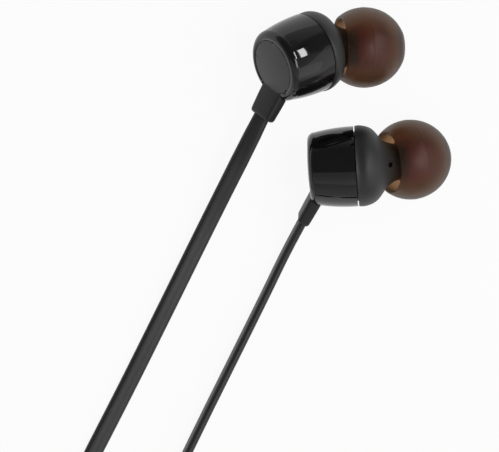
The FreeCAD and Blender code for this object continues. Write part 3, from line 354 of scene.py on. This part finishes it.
# Control points of each cord's route, in millimetres
PAIR_CENTRE = (-23.447, -91.234)
MAIN_CENTRE = (14.853, -88.744)
CORD_ROUTES = {
    "right_branch_cord": (
        [(-12.95, 2.09, 6.5), (-17.72, -8.95, 3.48), (-20.8, -16.07, 1.53), (-27.4, -29.83, 1.15),
         (-33.35, -42.28, 0.6), (-42.8, -60.8, 0.6), (-41.5, -75.75, 0.6),
         (-40.95, -82.0, 1.22), (-40.28, -89.7, 1.37)]
        + coil_points(PAIR_CENTRE, outer=16.632, pitch=3.3, turns=2.236, first_angle=185.0)
        + [(-20.46, -107.87, 4.5), (-17.06, -107.87, 4.5), (-10.56, -107.87, 2.1), (-5.15, -107.87, 2.1)]),
    "left_branch_cord": (
        [(-5.7, -13.83, 3.54), (-8.27, -19.5, 1.35), (-11.95, -27.38, 1.35), (-23.51, -50.89, 1.35),
         (-30.6, -66.33, 1.35), (-39.15, -83.67, 1.35), (-38.64, -89.56, 1.35)]
        + coil_points(PAIR_CENTRE, outer=14.982, pitch=3.3, turns=2.236, first_angle=185.0)
        + [(-20.46, -106.22, 4.5), (-17.06, -106.22, 4.5), (-10.56, -106.22, 2.1), (-5.15, -106.22, 2.1)]),
    "main_cord": (
        [(0.85, -107.04, 2.1), (5.25, -107.04, 2.1), (8.75, -107.04, 1.35), (11.85, -107.04, 1.35)]
        + coil_points(MAIN_CENTRE, outer=18.297, pitch=1.65, turns=9.25, first_angle=270.0)
        + [(33.15, -85.75, 4.5), (33.15, -82.55, 4.5), (33.15, -76.55, 2.8), (33.15, -68.34, 2.8)]),
}
CORD_NODES = {
    "right_branch_cord": ("right_cord_free", "right_cord_coil", "right_cord_tail"),
    "left_branch_cord": ("left_cord_free", "left_cord_coil", "left_cord_tail"),
    "main_cord": ("main_cord_lead", "main_cord_coil", "main_cord_tail"),
}
# The right cord's broad side where it leaves its boot, and how far along, in metres, it has come to lie
# flat, and begins and ends its turn onto its edge
RIGHT_SLANT = Vector((-0.4704, 0.4299, -0.7706))
FLAT_FROM = 0.0115
TURN_FROM = 0.0845
TURN_TO = 0.0985
UP = Vector((0, 0, 1))
# Points of a route's line that lie nearer together than this, in metres, count as one
SAME_SPOT = 1e-5


def route_line(name, points):
    """The smooth line through a route, as Blender's own spline gives it."""
    curve = bpy.data.curves.new(name + "_line", "CURVE")
    curve.dimensions = "3D"
    spline = curve.splines.new("NURBS")
    spline.points.add(len(points) - 1)
    for spot, point in zip(spline.points, points):
        spot.co = (point[0] * MM, point[1] * MM, point[2] * MM, 1)
    spline.order_u = 3
    spline.use_endpoint_u = True
    spline.resolution_u = 4
    line = bpy.data.objects.new(name + "_line", curve)
    bpy.context.scene.collection.objects.link(line)
    mesh = bpy.data.meshes.new_from_object(line)
    spots = [v.co.copy() for v in mesh.vertices]
    bpy.data.meshes.remove(mesh)
    bpy.data.objects.remove(line)
    bpy.data.curves.remove(curve)
    kept = [spots[0]]
    for spot in spots[1:]:
        if (spot - kept[-1]).length > SAME_SPOT:
            kept.append(spot)
    return kept


def jacket_outline(width, thickness):
    """The flat jacket's section: straight sides with a shallow groove, and round edges."""
    half = thickness / 2
    reach = width / 2 - half
    groove_at, groove_edge, groove_middle = 0.35, 0.985, 0.95
    outline = []
    for side, first in ((1, -90), (-1, 90)):
        for i in range(7):
            angle = math.radians(first + 30 * i)
            outline.append((side * reach + half * math.cos(angle), half * math.sin(angle)))
        for along, deep in ((groove_at, groove_edge), (0.0, groove_middle), (-groove_at, groove_edge)):
            outline.append((side * reach * along, side * half * deep))
    return outline


def sweep_jacket(name, line, broad_at, width, thickness):
    """The jacket as one closed mesh that follows the line, with a UV map that runs along it."""
    outline = jacket_outline(width * MM, thickness * MM)
    count = len(outline)
    vertices = []
    faces = []
    run = [0.0]
    for before, after in zip(line, line[1:]):
        run.append(run[-1] + (after - before).length)
    for i, at in enumerate(line):
        way = (line[min(i + 1, len(line) - 1)] - line[max(i - 1, 0)]).normalized()
        broad = broad_at(way, run[i])
        broad = (broad - way * broad.dot(way)).normalized()
        thin = way.cross(broad)
        vertices += [at + broad * u + thin * v for u, v in outline]
    for i in range(len(line) - 1):
        for j in range(count):
            k = (j + 1) % count
            faces.append((i * count + j, i * count + k, (i + 1) * count + k, (i + 1) * count + j))
    faces.append(tuple(range(count))[::-1])
    last = (len(line) - 1) * count
    faces.append(tuple(last + j for j in range(count)))
    mesh = bpy.data.meshes.new(name)
    mesh.from_pydata(vertices, [], faces)
    layer = mesh.uv_layers.new(name="along")
    for loop in mesh.loops:
        ring, spot = divmod(loop.vertex_index, count)
        layer.data[loop.index].uv = (spot / count, run[ring])
    piece = bpy.data.objects.new(name, mesh)
    bpy.context.scene.collection.objects.link(piece)
    pick(piece)
    bpy.ops.object.mode_set(mode="EDIT")
    bpy.ops.mesh.select_all(action="SELECT")
    bpy.ops.mesh.normals_make_consistent(inside=False)
    bpy.ops.object.mode_set(mode="OBJECT")
    smooth(piece, angle=40)
    return piece


def on_edge(way, run):
    """A cord that stands on its edge all along."""
    return UP


def turns_flat(way, run):
    """The right cord leaves its boot aslant, lies flat, and turns on edge before its coil."""
    flat = -UP.cross(way).normalized()
    if run < FLAT_FROM:
        return RIGHT_SLANT.lerp(flat, run / FLAT_FROM)
    if run < TURN_FROM:
        return flat
    if run < TURN_TO:
        angle = (run - TURN_FROM) / (TURN_TO - TURN_FROM) * math.pi / 2
        return flat * math.cos(angle) + UP * math.sin(angle)
    return UP


# Settings a user would change

class EARPHONES_PG_cord(bpy.types.PropertyGroup):
    width: bpy.props.FloatProperty(
        name="Width", description="Broad side of the flat cord in millimetres",
        default=2.7, min=1.0, max=5.0)
    thickness: bpy.props.FloatProperty(
        name="Thickness", description="Narrow side of the flat cord in millimetres",
        default=1.2, min=0.5, max=2.5)


class EARPHONES_PG_look(bpy.types.PropertyGroup):
    shell_tone: bpy.props.FloatVectorProperty(
        name="Shell", description="Colour of the glossy rear shells", subtype="COLOR", size=3,
        default=(0.006, 0.006, 0.0065), min=0, max=1)
    cap_tone: bpy.props.FloatVectorProperty(
        name="Cap", description="Colour of the satin rear caps", subtype="COLOR", size=3,
        default=(0.0105, 0.0105, 0.011), min=0, max=1)
    front_tone: bpy.props.FloatVectorProperty(
        name="Front", description="Colour of the matte front covers", subtype="COLOR", size=3,
        default=(0.02, 0.0205, 0.021), min=0, max=1)
    boot_tone: bpy.props.FloatVectorProperty(
        name="Boots", description="Colour of the rubber boots", subtype="COLOR", size=3,
        default=(0.01, 0.01, 0.0104), min=0, max=1)
    cord_tone: bpy.props.FloatVectorProperty(
        name="Cords", description="Colour of the cord's jacket", subtype="COLOR", size=3,
        default=(0.02, 0.02, 0.0205), min=0, max=1)
    tip_tone: bpy.props.FloatVectorProperty(
        name="Ear tips", description="Tint of the translucent silicone", subtype="COLOR", size=3,
        default=(0.31, 0.175, 0.092), min=0, max=1)
    core_tone: bpy.props.FloatVectorProperty(
        name="Tip cores", description="Colour of the ear tips' cores", subtype="COLOR", size=3,
        default=(0.85, 0.06, 0.022), min=0, max=1)


class EARPHONES_PG_studio(bpy.types.PropertyGroup):
    focal: bpy.props.FloatProperty(
        name="Lens", description="Focal length of the camera in millimetres",
        default=192.5, min=50, max=400)
    room: bpy.props.FloatProperty(
        name="Room", description="Brightness of the room round the table, where 1 is white",
        default=0.6, min=0, max=3)
    boxes: bpy.props.FloatProperty(
        name="Soft boxes", description="Brightness of the large soft boxes",
        default=1.0, min=0, max=10)
    window: bpy.props.FloatProperty(
        name="Window", description="Brightness of the small window that the shells mirror",
        default=15, min=0, max=60)
    overhead: bpy.props.FloatProperty(
        name="Overhead", description="Brightness of the soft box above the table",
        default=5, min=0, max=60)


# The pieces

# The camera's own directions, and its place in metres
CAMERA_BACK = Vector((-0.2006, 0.0784, 0.9765))
CAMERA_RIGHT = Vector((0.9797, 0.016, 0.2))
CAMERA_PLACE = Vector((-0.095404, 0.014915, 0.395244))


class EARPHONES_OT_camera(bpy.types.Operator):
    """Places the camera that looks down on the earbuds through a long lens"""
    bl_idname = "earphones.camera"
    bl_label = "Camera"

    def execute(self, context):
        data = bpy.data.cameras.new("studio_camera")
        data.sensor_width = 36
        data.lens = context.scene.earphones_studio.focal
        data.clip_start = 0.01
        camera = bpy.data.objects.new("studio_camera", data)
        context.scene.collection.objects.link(camera)
        back = CAMERA_BACK.normalized()
        right = (CAMERA_RIGHT - back * CAMERA_RIGHT.dot(back)).normalized()
        up = back.cross(right)
        place = Matrix((right, up, back)).transposed().to_4x4()
        place.translation = CAMERA_PLACE
        camera.matrix_world = place
        context.scene.camera = camera
        return {"FINISHED"}


class EARPHONES_OT_finishes(bpy.types.Operator):
    """Makes the finishes of all pieces and puts them on the inner solids"""
    bl_idname = "earphones.finishes"
    bl_label = "Finishes"

    def execute(self, context):
        make_finishes(context.scene.earphones_look)
        for node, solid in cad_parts.items():
            plain = node.split("_", 1)[1] if node.startswith(("left_", "right_")) else node
            if plain in INNER_FINISH:
                solid.data.materials.clear()
                solid.data.materials.append(finish(INNER_FINISH[plain]))
        return {"FINISHED"}


JUNCTION_SKINS = ("junction_lower_shell", "junction_upper_shell")
PLUG_CONTACTS = ("plug_sleeve_contact", "plug_ring_contact", "plug_tip_contact")
# Which way each cord's broad side faces along its route
CORD_SIDES = {"right_branch_cord": turns_flat, "left_branch_cord": on_edge, "main_cord": on_edge}


class EARPHONES_OT_cords(bpy.types.Operator):
    """Sweeps the two branch cords and the main cord, each wound up at its far end"""
    bl_idname = "earphones.cords"
    bl_label = "Cords"

    def execute(self, context):
        size = context.scene.earphones_cord
        for name, points in CORD_ROUTES.items():
            line = route_line(name, points)
            piece = sweep_jacket(name, line, CORD_SIDES[name], size.width, size.thickness)
            settle(piece, finish("cord_jacket"), "earphones", *CORD_NODES[name])
        return {"FINISHED"}


class EARPHONES_OT_housings(bpy.types.Operator):
    """Skins the glossy shells, satin caps and matte front covers of both earbuds"""
    bl_idname = "earphones.housings"
    bl_label = "Housings"

    def execute(self, context):
        for side in SIDES:
            dressed_copy(f"{side}_rear_shell", finish("gloss_shell"))
            dressed_copy(f"{side}_rear_cap", finish("satin_cap"), angle=25)
            dressed_copy(f"{side}_front_cover", finish("matte_front"))
        return {"FINISHED"}


# The boot: where it leaves the bud, and at what angle; the block that it starts from; each step out along
# the cable, with what the section shrinks to there; and the rounding of its edges, in millimetres
BOOT_ROOT = (-6.3, 0, -4.5)
BOOT_EXIT = math.radians(32.0)
BOOT_BLOCK = (4.5, 2.0, 1.0)
BOOT_STEPS = ((0.5, 1.0), (1.6, 0.985), (2.0, 0.955), (0.8, 0.985))
BOOT_ROUNDING = 0.55


def boot_frame(side):
    """From a boot's own millimetres, with X across the bud and Z along the cable, to the row frame."""
    cosine = math.cos(BOOT_EXIT)
    sine = math.sin(BOOT_EXIT)
    turn = Matrix(((0, -cosine, -sine), (1, 0, 0), (0, sine, -cosine))).to_4x4()
    return bud_frame(side) @ Matrix.Translation(BOOT_ROOT) @ turn


class EARPHONES_OT_boots(bpy.types.Operator):
    """Models the flat rubber boots that carry the cords out of the housings"""
    bl_idname = "earphones.boots"
    bl_label = "Boots"

    def execute(self, context):
        for side in SIDES:
            deselect()
            bpy.ops.mesh.primitive_cube_add(size=1, location=(0, 0, -1.0), scale=BOOT_BLOCK)
            piece = context.object
            piece.name = f"{side}_boot_rubber"
            bpy.ops.object.transform_apply(location=True, rotation=False, scale=True)
            select_faces(piece, lambda face: face.normal.z > 0.9)
            bpy.ops.object.mode_set(mode="EDIT")
            for length, shrink in BOOT_STEPS:
                bpy.ops.mesh.extrude_region_move(TRANSFORM_OT_translate={"value": (0, 0, length)})
                bpy.ops.transform.resize(value=(shrink, shrink, 1))
            bpy.ops.object.mode_set(mode="OBJECT")
            rounded = piece.modifiers.new("rounded", "BEVEL")
            rounded.width = BOOT_ROUNDING
            rounded.segments = 5
            rounded.limit_method = "ANGLE"
            rounded.angle_limit = math.radians(40)
            bpy.ops.object.modifier_apply(modifier=rounded.name)
            piece.data.transform(boot_frame(side))
            smooth(piece, angle=50)
            settle(piece, finish("boot_rubber"), "earphones", f"{side}_cable_boot")
        return {"FINISHED"}


def select_faces(piece, wanted):
    """Selects the faces that a test picks, for the next edit."""
    for face in piece.data.polygons:
        face.select = wanted(face)
    for edge in piece.data.edges:
        edge.select = False
    chosen = {v for face in piece.data.polygons if face.select for v in face.vertices}
    for vertex in piece.data.vertices:
        vertex.select = vertex.index in chosen
    bpy.ops.object.mode_set(mode="EDIT")
    bpy.ops.mesh.select_mode(type="FACE")
    bpy.ops.object.mode_set(mode="OBJECT")


def dome_outline():
    """Section of the silicone dome: nearly round outside, a fine moulding line and a thinner rear rim."""
    middle, radius, wall = 6.75, 6.03, 0.58
    outside = arc((middle, 0), radius, 128.1, 91.2, 16)
    outside += [(middle - 0.05, radius + 0.02), (middle + 0.05, radius + 0.02)]
    outside += arc((middle, 0), radius, 88.8, 28, 22, stretch=1.035)
    nose = [(12.37, 2.65), (12.37, 2.54), (12.3, 2.46), (12.15, 2.44), (11.87, 2.44)]
    inside = [(11.85, 3.3), (11.2, 3.33), (10.85, 3.55)]
    inside += arc((middle - 0.05, -0.05), radius - wall, 40, 122, 26)
    rim = [(3.22, 4.36), (3.1, 4.44), (3.02, 4.58)]
    return outside + nose + inside + rim


def core_outline():
    """Section of the core: a tube with a rounded rear lip that grips the nozzle's barb."""
    lip = arc((5.34, 3.08), 0.22, 180, 90, 5)
    outside = [(8.0, 3.3), (11.75, 3.3), (11.81, 3.24), (11.81, 1.98), (11.75, 1.92)]
    bore = [(10.0, 1.92), (9.95, 1.98), (9.95, 2.5), (9.9, 2.56), (5.3, 2.56)]
    return lip + outside + bore + [(5.16, 2.64), (5.12, 2.8), (5.12, 3.08)]


class EARPHONES_OT_ear_tips(bpy.types.Operator):
    """Turns the translucent domes, each with its moulding line, and their red cores"""
    bl_idname = "earphones.ear_tips"
    bl_label = "Ear tips"

    def execute(self, context):
        for side in SIDES:
            place = nozzle_frame(side)
            outline = dome_outline()
            dome = lathe(f"{side}_tip_dome_silicone", outline + outline[:1], place, steps=128)
            settle(dome, finish("tip_silicone"), f"{side}_ear_tip", f"{side}_ear_tip_dome")
            outline = core_outline()
            core = lathe(f"{side}_tip_core_silicone", outline + outline[:1], place, steps=96)
            settle(core, finish("core_silicone"), f"{side}_ear_tip", f"{side}_ear_tip_core")
        return {"FINISHED"}


class EARPHONES_OT_junction(bpy.types.Operator):
    """Skins the block where the two branches join"""
    bl_idname = "earphones.junction"
    bl_label = "Junction"

    def execute(self, context):
        for node in JUNCTION_SKINS:
            dressed_copy(node, finish("block_plastic"))
        return {"FINISHED"}


class EARPHONES_OT_plug(bpy.types.Operator):
    """Skins the jack plug: strain relief, handle and contacts"""
    bl_idname = "earphones.plug"
    bl_label = "Plug"

    def execute(self, context):
        dressed_copy("plug_strain_relief", finish("boot_rubber"), angle=25)
        dressed_copy("plug_handle", finish("plug_plastic"), angle=25)
        for node in PLUG_CONTACTS:
            dressed_copy(node, finish("contact_metal"), angle=25)
        return {"FINISHED"}


def towards(azimuth, elevation):
    """The direction of a place in the room, in degrees from +X towards +Y and up from the table."""
    around, up = math.radians(azimuth), math.radians(elevation)
    return Vector((math.cos(up) * math.cos(around), math.cos(up) * math.sin(around), math.sin(up)))


def soft_box(name, place, width, height, brightness, roll=0.0):
    """A rectangular lamp that faces the earbuds; a brightness of 1 looks white."""
    data = bpy.data.lights.new(name, "AREA")
    data.shape = "RECTANGLE"
    data.size = width
    data.size_y = height
    data.energy = brightness * math.pi * width * height
    lamp = bpy.data.objects.new(name, data)
    bpy.context.scene.collection.objects.link(lamp)
    aim = (-place).to_track_quat("-Z", "Y").to_matrix().to_4x4()
    lamp.matrix_world = Matrix.Translation(place) @ aim @ Matrix.Rotation(math.radians(roll), 4, "Z")


# How much of what the camera and mirrors see of the table is plain white; the rest takes shadows
PLAIN_SHARE = 0.93


class EARPHONES_OT_table(bpy.types.Operator):
    """Lays the white table, which keeps a faint shadow"""
    bl_idname = "earphones.table"
    bl_label = "Table"

    def execute(self, context):
        deselect()
        bpy.ops.mesh.primitive_plane_add(size=3, location=(0, 0, 0))
        table = context.object
        table.name = "table_top"
        material = bpy.data.materials.new("white_table")
        material.use_nodes = True
        nodes = material.node_tree.nodes
        link = material.node_tree.links.new
        shader = nodes["Principled BSDF"]
        shader.inputs["Base Color"].default_value = (0.82, 0.82, 0.82, 1)
        shader.inputs["Roughness"].default_value = 0.9
        glow = nodes.new("ShaderNodeEmission")
        rays = nodes.new("ShaderNodeLightPath")
        seen = nodes.new("ShaderNodeMath")
        seen.operation = "MAXIMUM"
        link(rays.outputs["Is Camera Ray"], seen.inputs[0])
        link(rays.outputs["Is Transmission Ray"], seen.inputs[1])
        mirrored = nodes.new("ShaderNodeMath")
        mirrored.operation = "MAXIMUM"
        link(seen.outputs[0], mirrored.inputs[0])
        link(rays.outputs["Is Glossy Ray"], mirrored.inputs[1])
        share = nodes.new("ShaderNodeMath")
        share.operation = "MULTIPLY"
        share.inputs[1].default_value = PLAIN_SHARE
        link(mirrored.outputs[0], share.inputs[0])
        mix = nodes.new("ShaderNodeMixShader")
        link(share.outputs[0], mix.inputs[0])
        link(shader.outputs[0], mix.inputs[1])
        link(glow.outputs[0], mix.inputs[2])
        link(mix.outputs[0], nodes["Material Output"].inputs["Surface"])
        table.data.materials.append(material)
        return {"FINISHED"}


def dark_patch(world, light, azimuth, elevation, stops):
    """Dims the room round one direction; stops are (cosine of the angle from it, share of light left)."""
    nodes = world.node_tree.nodes
    link = world.node_tree.links.new
    where = nodes.new("ShaderNodeTexCoord")
    facing = nodes.new("ShaderNodeVectorMath")
    facing.operation = "DOT_PRODUCT"
    facing.inputs[1].default_value = towards(azimuth, elevation)
    link(where.outputs["Generated"], facing.inputs[0])
    spread = nodes.new("ShaderNodeMapRange")
    spread.inputs["From Min"].default_value = -1
    link(facing.outputs["Value"], spread.inputs["Value"])
    ramp = nodes.new("ShaderNodeValToRGB")
    ramp.color_ramp.interpolation = "EASE"
    while len(ramp.color_ramp.elements) < len(stops):
        ramp.color_ramp.elements.new(0.5)
    for element, (cosine, level) in zip(ramp.color_ramp.elements, stops):
        element.position = 0.5 + cosine / 2
        element.color = (level, level, level, 1)
    link(spread.outputs["Result"], ramp.inputs["Fac"])
    dimmed = nodes.new("ShaderNodeVectorMath")
    dimmed.operation = "MULTIPLY"
    link(light, dimmed.inputs[0])
    link(ramp.outputs["Color"], dimmed.inputs[1])
    return dimmed.outputs["Vector"]


# Dim parts of the room, which the shells mirror as dark areas: azimuth and elevation in degrees, then the
# cosine of the angle from there and the share of light left
DIM_PARTS = (
    (140, 60, ((0.0, 1.0), (0.3, 0.83), (0.5, 0.62), (0.65, 0.36), (0.8, 0.2))),
    (42, 32, ((0.9, 1.0), (0.96, 0.4))),
    (-55, 10, ((0.94, 1.0), (0.98, 0.3))),
)
# How far from the earbuds the lamps stand that are placed by their direction, in metres
LAMP_REACH = 0.6


class EARPHONES_OT_studio(bpy.types.Operator):
    """Lights the table with a dim room, soft boxes and a small bright window"""
    bl_idname = "earphones.studio"
    bl_label = "Studio"

    def execute(self, context):
        studio = context.scene.earphones_studio
        world = bpy.data.worlds.new("dim_room")
        context.scene.world = world
        world.use_nodes = True
        nodes = world.node_tree.nodes
        room = nodes.new("ShaderNodeRGB")
        room.outputs[0].default_value = (1, 1, 1, 1)
        light = room.outputs[0]
        for azimuth, elevation, stops in DIM_PARTS:
            light = dark_patch(world, light, azimuth, elevation, stops)
        world.node_tree.links.new(light, nodes["Background"].inputs["Color"])
        nodes["Background"].inputs["Strength"].default_value = studio.room
        soft_box("window", towards(42.4, 52.2) * LAMP_REACH,
                 width=0.23, height=0.045, brightness=studio.window, roll=-21)
        soft_box("south_soft_box", Vector((0.0, -0.32, 0.5)),
                 width=1.6, height=0.4, brightness=studio.boxes * 0.3)
        soft_box("east_soft_box", towards(-20, 33) * LAMP_REACH,
                 width=0.9, height=0.34, brightness=studio.boxes * 0.4)
        soft_box("overhead_soft_box", towards(-10, 74) * LAMP_REACH,
                 width=0.28, height=0.22, brightness=studio.overhead)
        context.scene.view_settings.view_transform = "Standard"
        return {"FINISHED"}


class EARPHONES_PT_panel(bpy.types.Panel):
    """Lists the settings and the pieces of the earphones"""
    bl_idname = "EARPHONES_PT_panel"
    bl_label = "Earphones"
    bl_space_type = "VIEW_3D"
    bl_region_type = "UI"
    bl_category = "Earphones"

    def draw(self, context):
        for settings in SETTINGS:
            group = getattr(context.scene, settings)
            box = self.layout.box()
            for name in group.__annotations__:
                box.prop(group, name)
        for operator in STEPS:
            self.layout.operator(operator.bl_idname)


SETTINGS = {
    "earphones_cord": EARPHONES_PG_cord,
    "earphones_look": EARPHONES_PG_look,
    "earphones_studio": EARPHONES_PG_studio,
}
STEPS = (
    EARPHONES_OT_camera, EARPHONES_OT_finishes, EARPHONES_OT_junction, EARPHONES_OT_plug,
    EARPHONES_OT_cords, EARPHONES_OT_housings, EARPHONES_OT_boots, EARPHONES_OT_ear_tips,
    EARPHONES_OT_table, EARPHONES_OT_studio,
)


def register():
    for name, group in SETTINGS.items():
        bpy.utils.register_class(group)
        setattr(bpy.types.Scene, name, bpy.props.PointerProperty(type=group))
    for cls in STEPS + (EARPHONES_PT_panel,):
        bpy.utils.register_class(cls)


def unregister():
    for cls in reversed(STEPS + (EARPHONES_PT_panel,)):
        bpy.utils.unregister_class(cls)
    for name, group in reversed(SETTINGS.items()):
        delattr(bpy.types.Scene, name)
        bpy.utils.unregister_class(group)


def main():
    register()
    bpy.ops.earphones.camera()
    bpy.ops.earphones.finishes()
    bpy.ops.earphones.junction()
    bpy.ops.earphones.plug()
    bpy.ops.earphones.cords()
    bpy.ops.earphones.housings()
    bpy.ops.earphones.boots()
    bpy.ops.earphones.ear_tips()
    bpy.ops.earphones.table()
    bpy.ops.earphones.studio()
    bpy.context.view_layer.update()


if __name__ == "__main__":
    main()
